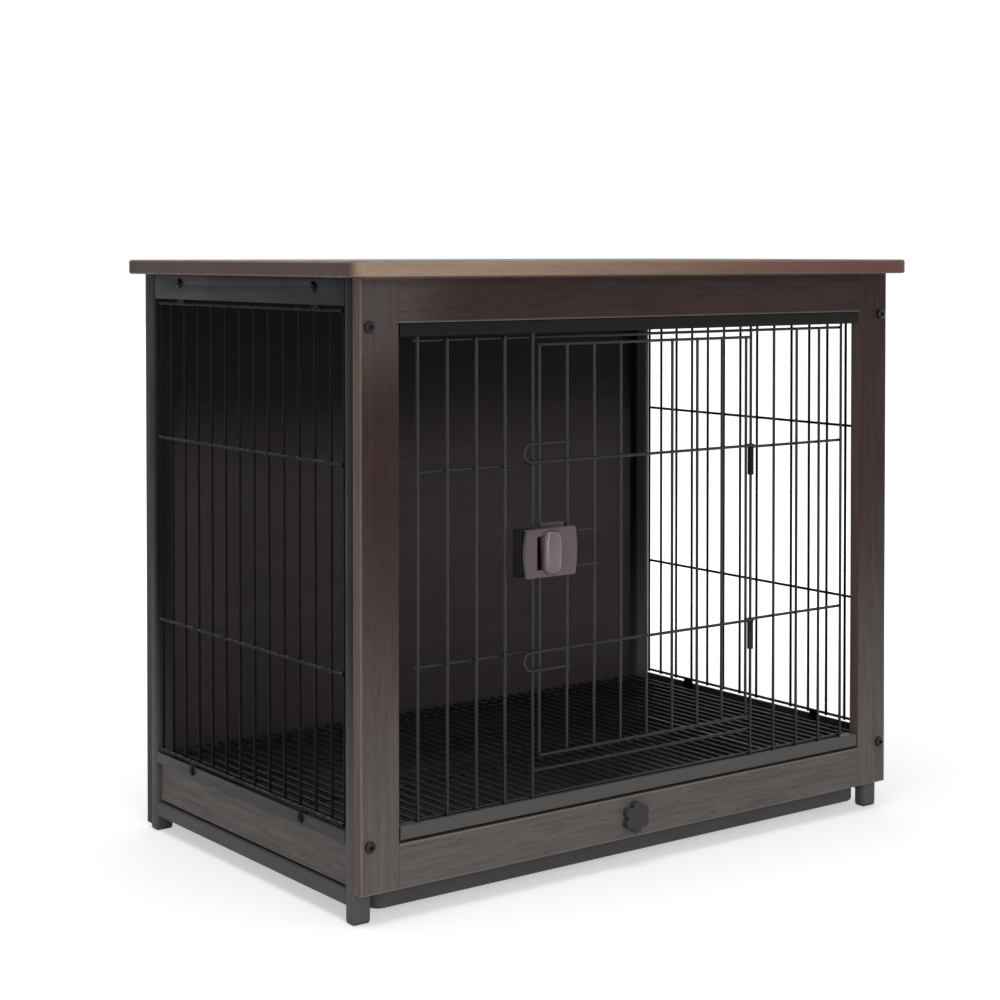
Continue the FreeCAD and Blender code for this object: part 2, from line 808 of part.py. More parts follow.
# Latch layers from the door's cross wires forward: guide plate, then front plate
latch_left = f"(-{jamb_half} - latch_left_reach)"
latch_low = f"({latch_middle} - latch_height / 2)"
wire_front = f"({door_front} - {wire_radius})"
guide_back = f"({wire_front} - guide_gap)"
guide_front = f"({guide_back} - slider_plate)"
plate_back = f"({guide_front} - slide_gap)"
plate_front = f"({plate_back} - latch_plate_thickness)"
back_plate_front = f"({door_plane} + {wire_radius} + slide_gap)"
screw_seat = f"({back_plate_front} + back_plate_thickness)"
screw_tip = f"({screw_seat} - latch_screw_length)"
boss_x = f"({latch_left} + boss_start)"
boss_levels = [f"{latch_middle} + {way} * boss_spread" for way in ways]


def barrel_plate():
    bulge_radius = "((latch_height * latch_height / 4 + latch_bulge * latch_bulge) / (2 * latch_bulge))"
    plate_low = (latch_left, plate_front, latch_low)
    whole = block(plate_low, ("latch_width", "latch_plate_thickness", "latch_height"))
    middles = (f"{latch_left} + {bulge_radius}", f"{latch_left} + latch_width - {bulge_radius}")
    depth = "latch_plate_thickness + 2 * overrun"
    arcs = [rod((x, f"{plate_front} - overrun", latch_middle), "y", bulge_radius, depth) for x in middles]
    plate = doc.addObject("Part::MultiCommon", "plate")
    plate.Shapes = [whole] + arcs
    return plate


def latch_screw_holes(low, length):
    return [hole((boss_x, low, height), "y", "latch_screw_radius", length) for height in boss_levels]


slot_low = f"{latch_middle} - neck_height / 2 - slide_gap"
slot_width = "slide_travel + grip_width + 2 * slide_gap"
slot = block(
    (f"{latch_left} + slot_start", f"{plate_front} - overrun", slot_low),
    (slot_width, "latch_plate_thickness + 2 * overrun", "neck_height + 2 * slide_gap"),
)
seat_depth = f"{wire_front} - fit_clearance - {plate_back}"
seat = block(
    (f"{latch_left} + seat_start", plate_back, f"{latch_low} + latch_bulge"),
    ("latch_width - seat_start - latch_bulge", seat_depth, "latch_height - 2 * latch_bulge"),
)
boss_length = f"{back_plate_front} - {plate_back}"
bosses = [rod((boss_x, plate_back, height), "y", "boss_radius", boss_length) for height in boss_levels]
front_plate = join([cut(barrel_plate(), [slot]), seat] + bosses)
node("latch_front_plate", cut(front_plate, latch_screw_holes(screw_tip, "latch_screw_length + overrun")))
back_plate_width = "latch_width - back_plate_start - back_plate_trim"
back_plate = board(
    (f"{latch_left} + back_plate_start", back_plate_front, f"{latch_low} + back_plate_trim"),
    (back_plate_width, "back_plate_thickness", "latch_height - back_plate_trim + back_plate_rise"),
    [(every, "latch_plate_round")],
)
back_holes = latch_screw_holes(f"{back_plate_front} - overrun", "back_plate_thickness + 2 * overrun")
node("latch_back_plate", cut(back_plate, back_holes))


def latch_screw(height):
    shank_length = "latch_screw_length - fit_clearance"
    shank = rod((boss_x, f"{screw_tip} + fit_clearance", height), "y", "latch_screw_radius", shank_length)
    head = rod((boss_x, screw_seat, height), "y", "latch_screw_head", "latch_screw_head_height")
    return join([shank, head])


node("latch_screws", group([latch_screw(height) for height in boss_levels]))

# Latch slider: the grip on a neck through the slot, its guide plate, and the bolt behind it
grip_x = f"{latch_left} + slot_start + slide_travel + slide_gap"
grip = board(
    (grip_x, f"{plate_front} - grip_proud", f"{latch_middle} - grip_height / 2"),
    ("grip_width", "grip_proud - grip_gap", "grip_height"),
    [(foremost, "grip_round")],
)
neck = block(
    (grip_x, f"{plate_front} - grip_gap", f"{latch_middle} - neck_height / 2"),
    ("grip_width", f"{guide_front} - {plate_front} + grip_gap", "neck_height"),
)
guide = block(
    (f"{latch_left} + slider_start", guide_front, f"{latch_middle} - neck_height / 2 - slider_margin"),
    ("slider_width", "slider_plate", "neck_height + 2 * slider_margin"),
)
node("latch_grip", join([grip, neck, guide]))
bolt_low = (f"{latch_left} + bolt_start", guide_back, f"{latch_middle} - bolt_height / 2")
node("latch_bolt", block(bolt_low, ("bolt_length", "bolt_plate", "bolt_height")))

# Latch keeper: a plastic block on the left jamb wire, with a pocket that takes the bolt
keeper_left = f"(-{jamb_half} - keeper_reach)"
keeper_mouth = f"({latch_left} + bolt_start - keeper_mouth_gap)"
pocket_front = f"({guide_back} - slide_gap)"
pocket_back = f"({guide_back} + bolt_plate + slide_gap)"
keeper_front = f"({pocket_front} - keeper_lip)"
keeper_rear = f"({front_plane} + {wire_radius} + keeper_back)"
keeper_low = f"({latch_middle} - keeper_height / 2)"
wrap_start = f"({keeper_mouth} - keeper_wrap)"
wrap_front = f"({pocket_back} + slide_gap)"
wrap_width = f"-{jamb_half} + {wire_radius} + keeper_wrap - {wrap_start}"
keeper_block = board(
    (keeper_left, keeper_front, keeper_low),
    (f"{keeper_mouth} - {keeper_left}", f"{keeper_rear} - {keeper_front}", "keeper_height"),
    [(every, "keeper_round")],
)
wrap = block(
    (wrap_start, wrap_front, f"{keeper_low} + keeper_round"),
    (wrap_width, f"{keeper_rear} - {wrap_front} - keeper_round", "keeper_height - 2 * keeper_round"),
)
pocket_low = f"{latch_middle} - bolt_height / 2 - keeper_pocket_play"
pocket_height = "bolt_height + 2 * keeper_pocket_play"
pocket = block(
    (f"{keeper_mouth} - keeper_pocket_depth", pocket_front, pocket_low),
    ("keeper_pocket_depth + overrun", f"{pocket_back} - {pocket_front}", pocket_height),
)
bore_start = (f"-{jamb_half}", front_plane, f"{keeper_low} - overrun")
jamb_bore = hole(bore_start, "z", wire_radius, "keeper_height + 2 * overrun")
node("latch_keeper", cut(join([keeper_block, wrap]), [pocket, jamb_bore]))

# Pull-out tray on two angle runners fixed to the lower tubes
flange_half = f"({post_inner} - tray_side_gap)"
tray_half = f"({flange_half} - tray_flange)"
tray_front = f"({wood_back} + tray_front_gap)"
tray_rear = f"({back_front} - tray_rear_gap)"
tray_length = f"({tray_rear} - {tray_front})"
flange_low = "(tray_rim - tray_flange_thickness)"
flange_width = "(tray_flange + tray_wall)"
tray_shell = board(
    (f"-{tray_half}", tray_front, "tray_bottom"),
    (f"2 * {tray_half}", tray_length, "tray_rim - tray_bottom"),
    [(upright, "tray_corner"), (lowest, "tray_round")],
)
hollow_height = "tray_rim - tray_bottom - tray_floor + overrun"
tray_hollow = board(
    (f"-{tray_half} + tray_wall", f"{tray_front} + tray_wall", "tray_bottom + tray_floor"),
    (f"2 * {tray_half} - 2 * tray_wall", f"{tray_length} - 2 * tray_wall", hollow_height),
    [(upright, "tray_corner - tray_wall"), (lowest, "tray_round - tray_wall / 2")],
)
flange_size = (flange_width, f"{tray_length} - 2 * tray_corner", "tray_flange_thickness")
flanges = [
    block((start, f"{tray_front} + tray_corner", flange_low), flange_size)
    for start in (f"-{flange_half}", f"{flange_half} - {flange_width}")
]
node("tray", join([cut(tray_shell, [tray_hollow])] + flanges))

runner_top = f"({flange_low} - rest_gap)"
runner_reach = "(post_width + tray_side_gap + runner_overlap - low_tube_depth)"
for side, sign in sides:
    leg_low = (flank(sign, "low_tube_depth", "runner_sheet"), post_front_end, f"{runner_top} - runner_drop")
    shelf_low = (flank(sign, "low_tube_depth", runner_reach), post_front_end, f"{runner_top} - runner_sheet")
    leg = block(leg_low, ("runner_sheet", side_length, "runner_drop"))
    shelf = block(shelf_low, (runner_reach, side_length, "runner_sheet"))
    node(f"{side}_tray_runner", join([leg, shelf]))

# Lift-out floor grate: close wires front to back on cross wires, resting on two ledges
grate_front = f"({wood_back} + grate_front_gap)"
grate_rear = f"({back_front} - grate_rear_gap)"
grate_length = f"({grate_rear} - {grate_front})"
grate_axis = "(grate_level - grate_wire / 2)"
cross_axis = f"({grate_axis} - grate_wire / 2 - cross_wire / 2 + weld_depth)"
grate_half = f"({post_inner} - grate_side_gap)"
grate_pitch = f"(2 * {grate_half} / {grate_gaps})"
cross_pitch = f"(({grate_length} - 2 * cross_inset) / {cross_gaps})"
cross_end = f"({grate_half} + grate_wire)"
grate_wires = []
for index in range(grate_gaps + 1):
    start = (f"-{grate_half} + {index} * {grate_pitch}", grate_front, grate_axis)
    grate_wires.append(rod(start, "y", "grate_wire / 2", grate_length))
for index in range(cross_gaps + 1):
    place = f"{grate_front} + cross_inset + {index} * {cross_pitch}"
    grate_wires.append(cross_rod(f"-{cross_end}", cross_end, cross_axis, place, "cross_wire / 2"))
node("floor_grate", join(grate_wires))

ledge_top = f"({cross_axis} - cross_wire / 2 - rest_gap)"
ledge_half = f"({bar_half} - strap_lap - ledge_end_gap)"
for name, shelf_y, leg_y in (
    ("front_grate_ledge", bar_back, bar_back),
    ("rear_grate_ledge", f"{back_front} - ledge_reach", f"{back_front} - ledge_sheet"),
):
    shelf_low = (f"-{ledge_half}", shelf_y, f"{ledge_top} - ledge_sheet")
    leg_low = (f"-{ledge_half}", leg_y, f"{ledge_top} - ledge_height")
    shelf = block(shelf_low, (f"2 * {ledge_half}", "ledge_reach", "ledge_sheet"))
    leg = block(leg_low, (f"2 * {ledge_half}", "ledge_sheet", "ledge_height"))
    node(name, join([shelf, leg]))


# Bolts through the stiles into weld nuts inside the front posts
def frame_bolt(x, z):
    body = doc.addObject("PartDesign::Body", "bolt_head")
    fillet(body, pad(body, disc(body, "bolt_head_radius"), "bolt_head_height"), lowest, "bolt_round")
    put(body, (x, f"{front_face} - bolt_head_height", z), turns["y"])
    socket_start = (x, f"{front_face} - bolt_head_height - overrun", z)
    head = cut(body, [hexagon(socket_start, "y", "socket_radius", "socket_depth + overrun")])
    reach = "face_thickness + tube_wall + bolt_nut_height + bolt_tail"
    return join([head, rod((x, front_face, z), "y", "bolt_radius", reach)])


def weld_nut(x, z):
    nut_front = f"({wood_back} + tube_wall)"
    nut = hexagon((x, nut_front, z), "y", "bolt_nut_radius", "bolt_nut_height")
    start = (x, f"{nut_front} - overrun", z)
    return cut(nut, [hole(start, "y", "bolt_radius", "bolt_nut_height + 2 * overrun")])


bolt_places = [(flank_point(sign, bolt_inset), height) for _, sign in sides for height in bolt_levels]
node("front_frame_bolts", group([frame_bolt(x, z) for x, z in bolt_places]))
node("front_frame_nuts", group([weld_nut(x, z) for x, z in bolt_places]))


# Tray lock: a lobed hand knob on a stud through the bottom rail, turning a catch behind it
def lobed_knob():
    body = doc.addObject("PartDesign::Body", "knob")
    pad(body, disc(body, "knob_core"), "knob_thickness")
    lobe = pad(body, disc(body, "lobe_radius", "lobe_offset"), "knob_thickness")
    ring = body.newObject("PartDesign::PolarPattern", "ring")
    ring.Originals = [lobe]
    ring.Axis = (origin_part(body, "Z_Axis"), [""])
    ring.Angle = 360
    ring.Occurrences = knob_lobes
    body.Tip = ring
    doc.recompute()
    fillet(body, ring, lowest, "knob_round")
    put(body, (knob_x, f"{front_face} - knob_gap - knob_thickness", knob_z), turns["y"])
    return body


knob_back = f"({front_face} - knob_gap)"
catch_front = f"({wood_back} + knob_gap)"
catch_back = f"({catch_front} + catch_thickness)"
stud_length = f"{catch_back} + stud_tail - {knob_back}"
arm_low = (knob_x, catch_front, f"{knob_z} - catch_width / 2")
catch_plate = join([
    rod((knob_x, catch_front, knob_z), "y", "catch_width / 2", "catch_thickness"),
    block(arm_low, ("catch_reach", "catch_thickness", "catch_width")),
])
stud_start = (knob_x, f"{catch_front} - overrun", knob_z)
stud_hole = hole(stud_start, "y", "stud_radius", "catch_thickness + 2 * overrun")
nut_start = (knob_x, f"{catch_back} - overrun", knob_z)
nut_hole = hole(nut_start, "y", "stud_radius", "knob_nut_height + 2 * overrun")
node("star_knob", lobed_knob())
node("knob_stud", rod((knob_x, knob_back, knob_z), "y", "stud_radius", stud_length))
node("tray_catch", cut(catch_plate, [stud_hole]))
knob_nut = hexagon((knob_x, catch_back, knob_z), "y", "knob_nut_radius", "knob_nut_height")
node("knob_nut", cut(knob_nut, [nut_hole]))

# Check every object, then write one file per sub-part
doc.recompute()
for thing in doc.Objects:
    if "Invalid" in thing.State or "Error" in thing.State:
        raise RuntimeError(f"{thing.Name} ({thing.Label}) failed: {thing.State}")
os.makedirs("parts", exist_ok=True)
for thing in nodes:
    shape = thing.Shape
    if shape.isNull() or not shape.isValid():
        raise RuntimeError(f"{thing.Label} has no valid shape")
    shape.exportStep(f"parts/{thing.Label}.step")
    print(f"{thing.Label}: {len(shape.Solids)} solids")
print(f"{len(nodes)} nodes")
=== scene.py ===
import json
import math
import bpy
import bmesh
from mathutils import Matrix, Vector


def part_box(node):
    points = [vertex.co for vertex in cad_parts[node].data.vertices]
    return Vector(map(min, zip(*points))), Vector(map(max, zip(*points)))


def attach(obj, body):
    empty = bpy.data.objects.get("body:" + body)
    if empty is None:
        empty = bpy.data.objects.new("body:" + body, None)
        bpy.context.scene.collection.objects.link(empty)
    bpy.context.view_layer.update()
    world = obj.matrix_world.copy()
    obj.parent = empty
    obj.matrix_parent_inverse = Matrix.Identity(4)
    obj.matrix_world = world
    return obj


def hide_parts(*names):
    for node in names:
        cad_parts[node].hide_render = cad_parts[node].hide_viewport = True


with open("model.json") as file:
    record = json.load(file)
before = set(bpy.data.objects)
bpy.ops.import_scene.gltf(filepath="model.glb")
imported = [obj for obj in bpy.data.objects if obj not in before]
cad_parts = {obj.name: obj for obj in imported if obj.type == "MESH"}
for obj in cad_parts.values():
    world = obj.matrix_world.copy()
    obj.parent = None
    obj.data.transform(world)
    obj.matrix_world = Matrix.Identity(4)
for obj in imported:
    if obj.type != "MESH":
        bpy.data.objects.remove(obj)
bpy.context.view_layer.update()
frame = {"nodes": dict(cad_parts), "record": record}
nodes = frame["nodes"]
bodyOf = {name: body for body, names in frame["record"]["behaviour"]["bodies"].items() for name in names}
slotOf = {row["node"]: row["material_slot"] for row in frame["record"]["subparts"]}
print("frame loaded:", len(nodes), "nodes")


# small helpers for node trees
def addNode(tree, kind, values=None, **props):
    made = tree.nodes.new(kind)
    for key, value in props.items():
        setattr(made, key, value)
    for key, value in (values or {}).items():
        made.inputs[key].default_value = value
    return made


def wire(tree, source, target):
    tree.links.new(source, target)


# puts a plain value on a socket, or links an output to it
def feed(tree, value, socket):
    if isinstance(value, (int, float, tuple)):
        socket.default_value = value
    else:
        wire(tree, value, socket)


def calculate(tree, operation, first, second=None, clamp=False):
    made = addNode(tree, "ShaderNodeMath", operation=operation, use_clamp=clamp)
    feed(tree, first, made.inputs[0])
    if second is not None:
        feed(tree, second, made.inputs[1])
    return made.outputs[0]


def times(tree, first, second):
    return calculate(tree, "MULTIPLY", first, second)


def inverted(tree, share):
    return calculate(tree, "SUBTRACT", 1.0, share)


def vectorStep(tree, operation, first, second=None):
    made = addNode(tree, "ShaderNodeVectorMath", operation=operation)
    feed(tree, first, made.inputs[0])
    if second is not None:
        feed(tree, second, made.inputs[1])
    return made.outputs["Value" if operation in ("DOT_PRODUCT", "DISTANCE", "LENGTH") else "Vector"]


def axesOf(tree, vector):
    made = addNode(tree, "ShaderNodeSeparateXYZ")
    wire(tree, vector, made.inputs[0])
    return made.outputs


def coordinate(tree, kind):
    return addNode(tree, "ShaderNodeTexCoord").outputs[kind]


def noiseAt(tree, place, scale, detail, roughness):
    made = addNode(tree, "ShaderNodeTexNoise", {"Detail": detail, "Roughness": roughness})
    wire(tree, place, made.inputs["Vector"])
    feed(tree, scale, made.inputs["Scale"])
    return made


# a soft step from 0 to 1 between two levels
def ramp(tree, source, low, high):
    made = addNode(tree, "ShaderNodeMapRange", {"From Min": low, "From Max": high}, interpolation_type="SMOOTHSTEP")
    wire(tree, source, made.inputs["Value"])
    return made.outputs["Result"]


# a share from 0 to 1 laid over another range
def spread(tree, source, low, high):
    made = addNode(tree, "ShaderNodeMapRange", {"To Min": low, "To Max": high})
    wire(tree, source, made.inputs["Value"])
    return made.outputs["Result"]


# a Mix node has its colours on inputs 6 and 7 and on output 2
def mixColour(tree, mask, first, second):
    made = addNode(tree, "ShaderNodeMix", data_type="RGBA")
    for value, index in ((mask, 0), (first, 6), (second, 7)):
        feed(tree, value, made.inputs[index])
    return made.outputs[2]


def newGroup(name, inputs, outputs):
    tree = bpy.data.node_groups.new(name, "ShaderNodeTree")
    for label, kind, value in inputs:
        made = tree.interface.new_socket(label, in_out="INPUT", socket_type=kind)
        made.default_value = value
    for label in outputs:
        tree.interface.new_socket(label, in_out="OUTPUT", socket_type="NodeSocketFloat")
    return tree, addNode(tree, "NodeGroupInput").outputs, addNode(tree, "NodeGroupOutput").inputs


# wood grain: broad figure, fine streaks and open pores, long along the board, and blotches that are not
grainLayers = {
    "Figure": {"scale": 0.55, "detail": 5.0, "roughness": 0.62, "reach": (0.32, 0.68)},
    "Streaks": {"scale": 3.2, "detail": 4.0, "roughness": 0.7, "reach": (0.3, 0.7)},
    "Pores": {"scale": 14.0, "detail": 2.0, "roughness": 0.5, "reach": (0.57, 0.72)},
    "Blotch": {"scale": 16.0, "detail": 3.0, "roughness": 0.55, "reach": (0.35, 0.68)},
}


def makeGrainGroup():
    tree, given, out = newGroup(
        "woodGrain",
        [("Stretch", "NodeSocketVector", (60, 60, 4)), ("Shift", "NodeSocketVector", (0, 0, 0)),
         ("Warp", "NodeSocketFloat", 0.6)],
        list(grainLayers),
    )
    moved = vectorStep(tree, "ADD", coordinate(tree, "Object"), given["Shift"])
    stretched = vectorStep(tree, "MULTIPLY", moved, given["Stretch"])
    for layer, spec in grainLayers.items():
        place = moved if layer == "Blotch" else stretched
        made = noiseAt(tree, place, spec["scale"], spec["detail"], spec["roughness"])
        if layer == "Figure":
            wire(tree, given["Warp"], made.inputs["Distortion"])
        wire(tree, ramp(tree, made.outputs[0], *spec["reach"]), out[layer])
    return tree


# edge wear on a box-shaped piece: the second smallest distance to the faces of its box, broken up by noise
edgeBreakup = {"scale": 90.0, "detail": 3.0, "roughness": 0.6, "reach": (0.25, 1.15)}


def makeEdgeGroup():
    tree, given, out = newGroup(
        "edgeWear",
        [("Low", "NodeSocketVector", (0, 0, 0)), ("High", "NodeSocketVector", (1, 1, 1)),
         ("Width", "NodeSocketFloat", 0.002)],
        ["Mask"],
    )
    place = coordinate(tree, "Object")
    fromLow = vectorStep(tree, "SUBTRACT", place, given["Low"])
    fromHigh = vectorStep(tree, "SUBTRACT", given["High"], place)
    x, y, z = axesOf(tree, vectorStep(tree, "MINIMUM", fromLow, fromHigh))
    smaller = calculate(tree, "MINIMUM", x, y)
    larger = calculate(tree, "MAXIMUM", x, y)
    second = calculate(tree, "MAXIMUM", smaller, calculate(tree, "MINIMUM", larger, z))
    line = calculate(tree, "SUBTRACT", 1.0, calculate(tree, "DIVIDE", second, given["Width"]), clamp=True)
    made = noiseAt(tree, place, edgeBreakup["scale"], edgeBreakup["detail"], edgeBreakup["roughness"])
    wire(tree, times(tree, line, spread(tree, made.outputs[0], *edgeBreakup["reach"])), out["Mask"])
    return tree


# tone by height: 1 up to the low level, 0 from the high level on
def makeHeightGroup():
    tree, given, out = newGroup(
        "heightTone", [("Low", "NodeSocketFloat", 0.02), ("High", "NodeSocketFloat", 0.5)], ["Near Floor"],
    )
    made = addNode(tree, "ShaderNodeMapRange", {"To Min": 1.0, "To Max": 0.0}, interpolation_type="SMOOTHSTEP")
    wire(tree, axesOf(tree, coordinate(tree, "Object"))[2], made.inputs["Value"])
    wire(tree, given["Low"], made.inputs["From Min"])
    wire(tree, given["High"], made.inputs["From Max"])
    wire(tree, made.outputs["Result"], out["Near Floor"])
    return tree


# edge banding: the narrow faces of a board, which lie along the axis of its thickness
bandTurn = (0.3, 0.75)


def makeBandGroup():
    tree, given, out = newGroup("edgeBand", [("Axis", "NodeSocketVector", (0, 0, 1))], ["Mask"])
    turned = vectorStep(tree, "DOT_PRODUCT", coordinate(tree, "Normal"), given["Axis"])
    broad = ramp(tree, calculate(tree, "ABSOLUTE", turned), *bandTurn)
    wire(tree, inverted(tree, broad), out["Mask"])
    return tree


# coat or moulded skin: fine peel for the bump, slow drift for colour and roughness, pale specks on upward faces:
# faint dust, and on the side wire panels mostly painted highlight
skinLayers = {
    "peel": {"detail": 2.0, "roughness": 0.5},
    "drift": {"scale": 12.0, "detail": 4.0, "roughness": 0.6, "reach": (0.3, 0.7)},
    "specks": {"scale": 320.0, "detail": 4.0, "roughness": 0.7, "reach": (0.42, 0.7)},
    "upward": (0.2, 0.95),
}


def makeSkinGroup():
    tree, given, out = newGroup(
        "surfaceSkin", [("Peel", "NodeSocketFloat", 900.0)], ["Height", "Drift", "DustAndSheen"],
    )
    place = coordinate(tree, "Object")
    levels = {}
    for layer in ("peel", "drift", "specks"):
        spec = skinLayers[layer]
        scale = spec.get("scale", given["Peel"])
        levels[layer] = noiseAt(tree, place, scale, spec["detail"], spec["roughness"]).outputs[0]
    normal = addNode(tree, "ShaderNodeNewGeometry").outputs["Normal"]
    upward = ramp(tree, axesOf(tree, normal)[2], *skinLayers["upward"])
    specks = ramp(tree, levels["specks"], *skinLayers["specks"]["reach"])
    wire(tree, levels["peel"], out["Height"])
    wire(tree, ramp(tree, levels["drift"], *skinLayers["drift"]["reach"]), out["Drift"])
    wire(tree, times(tree, upward, specks), out["DustAndSheen"])
    return tree


grainGroup = makeGrainGroup()
edgeGroup = makeEdgeGroup()
bandGroup = makeBandGroup()
heightGroup = makeHeightGroup()
skinGroup = makeSkinGroup()


def newMaterial(name):
    made = bpy.data.materials.new(name)
    made.use_nodes = True
    tree = made.node_tree
    return made, tree, tree.nodes["Principled BSDF"]


def placeGroup(tree, group, values):
    return addNode(tree, "ShaderNodeGroup", values, node_tree=group).outputs


def addBump(tree, shader, height, strength, distance):
    bump = addNode(tree, "ShaderNodeBump", {"Strength": strength, "Distance": distance})
    wire(tree, height, bump.inputs["Height"])
    wire(tree, bump.outputs[0], shader.inputs["Normal"])


# an sRGB tone from 0 to 255 as a linear colour
def fromSrgb(red, green, blue):
    parts = (red / 255, green / 255, blue / 255)
    return tuple(((part + 0.055) / 1.055) ** 2.4 if part > 0.04 else part / 12.92 for part in parts) + (1.0,)


# dark rustic boards, one material for each board so that the grain runs along it and differs
boardTones = {
    "front": {"light": (60, 48, 45), "middle": (49, 37, 35), "red": (57, 37, 36), "dark": (31, 23, 21),
              "worn": (150, 139, 129), "band": (106, 90, 79)},
    "top": {"light": (104, 88, 78), "middle": (84, 68, 60), "red": (92, 68, 60), "dark": (50, 40, 36),
            "worn": (168, 154, 138)},
    # the back's "dark" is also the colour of the painted shadow on its inner face
    "back": {"light": (88, 82, 80), "middle": (73, 67, 65), "red": (77, 66, 64), "dark": (17, 16, 16),
             "worn": (104, 96, 88), "band": (82, 74, 66)},
}
boards = {
    "shine": {"front": 0.16, "top": 0.16, "back": 0.06},
    "roughness": (0.46, 0.66),
    "bump": 0.22,
    "bumpDepth": 0.0004,
    "warp": 0.7,
    "blotchShare": 0.7,
    "lineShares": {"Streaks": 0.26, "Pores": 0.35},
    "bandShare": 0.9,
    "bandCalm": 0.45,
    "wearShare": 0.8,
    "wearWidth": 0.002,
    "wearPast": 0.05,
    # painted light bounced up from the floor: the paler tone, its share and the height where it ends
    "pale": {"tone": (126, 120, 117), "share": 0.68, "height": 0.4},
    # a paler spot round the upper left joint of the front
    "paleSpot": {"place": (-0.345, -0.2, 0.59), "reach": (0.02, 0.13), "share": 0.38},
    # the back panel's inner face: "plain" calms its grain, "shaded" is the share of painted shadow that grows from
    # the low to the high level
    "inside": {"plain": 0.7, "low": 0.36, "high": 0.48, "shaded": 0.8},
}
alongX, alongY, alongZ = (4, 60, 60), (60, 4, 60), (60, 60, 4)
woodNodes = {
    "top_board": {"kind": "top", "grain": alongX, "shift": (0.0, 0.0, 0.0), "thin": (0, 0, 1)},
    "front_left_stile": {"kind": "front", "grain": alongZ, "shift": (0.31, 0.1, 0.7), "thin": (0, 1, 0),
                         "butts": ("right",)},
    "front_right_stile": {"kind": "front", "grain": alongZ, "shift": (1.7, 0.4, 0.2), "thin": (0, 1, 0),
                          "butts": ("left",)},
    "front_top_rail": {"kind": "front", "grain": alongX, "shift": (0.9, 1.3, 0.6), "thin": (0, 1, 0),
                       "butts": ("left", "right")},
    "front_bottom_rail": {"kind": "front", "grain": alongX, "shift": (2.6, 0.8, 1.9), "thin": (0, 1, 0),
                          "butts": ("left", "right")},
    "left_lower_panel": {"kind": "front", "grain": alongY, "shift": (3.1, 2.2, 0.4), "thin": (1, 0, 0)},
    "right_lower_panel": {"kind": "front", "grain": alongY, "shift": (4.4, 0.6, 1.1), "thin": (1, 0, 0)},
    "back_panel": {"kind": "back", "grain": alongX, "shift": (5.2, 1.9, 2.8), "thin": (0, 1, 0)},
}


# edges that butt against another board keep their finish, so the wear box reaches past them there
def wearBox(name):
    low, high = (list(corner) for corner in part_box(name))
    butts = woodNodes[name].get("butts", ())
    if "left" in butts:
        low[0] -= boards["wearPast"]
    if "right" in butts:
        high[0] += boards["wearPast"]
    return low, high


# the top board's rim: pale edge banding with painted light, warm and pale at the left front corner and redder to
# the right, and painted shade that makes it greyer on its ends
rim = {
    "left": (176, 150, 127),
    "right": (118, 84, 75),
    "end": (92, 79, 75),
    "reach": (-0.34, 0.3),
    "endTurn": (0.55, 0.95),
}


def rimColourAndPaintedLight(tree):
    across = ramp(tree, axesOf(tree, coordinate(tree, "Object"))[0], *rim["reach"])
    colour = mixColour(tree, across, fromSrgb(*rim["left"]), fromSrgb(*rim["right"]))
    sideways = axesOf(tree, coordinate(tree, "Normal"))[0]
    ends = ramp(tree, calculate(tree, "ABSOLUTE", sideways), *rim["endTurn"])
    return mixColour(tree, ends, colour, fromSrgb(*rim["end"]))


# painted light: the front boards and lower side panels pale towards the floor, where light bounces up from it; they
# are also paler round the upper left joint
def paleFrontWithPaintedBounce(tree, colour):
    pale, paleSpot = boards["pale"], boards["paleSpot"]
    lower = placeGroup(tree, heightGroup, {"High": pale["height"]})["Near Floor"]
    away = vectorStep(tree, "DISTANCE", coordinate(tree, "Object"), paleSpot["place"])
    close = inverted(tree, ramp(tree, away, *paleSpot["reach"]))
    share = calculate(tree, "MAXIMUM", times(tree, lower, pale["share"]), times(tree, close, paleSpot["share"]))
    return mixColour(tree, share, colour, fromSrgb(*pale["tone"]))


# the back panel's face towards the cabin is plainer than its outside, and has a painted shadow in its upper part,
# under the top board
def plainInsideAndPaintedShadow(tree, colour, tone):
    inside = boards["inside"]
    depth = axesOf(tree, coordinate(tree, "Normal"))[1]
    inner = calculate(tree, "MULTIPLY", depth, -1.0, clamp=True)
    plain = times(tree, inner, inside["plain"])
    lower = placeGroup(tree, heightGroup, {"Low": inside["low"], "High": inside["high"]})["Near Floor"]
    upper = times(tree, inverted(tree, lower), times(tree, inner, inside["shaded"]))
    colour = mixColour(tree, plain, colour, tone["middle"])
    return mixColour(tree, upper, colour, tone["dark"]), plain


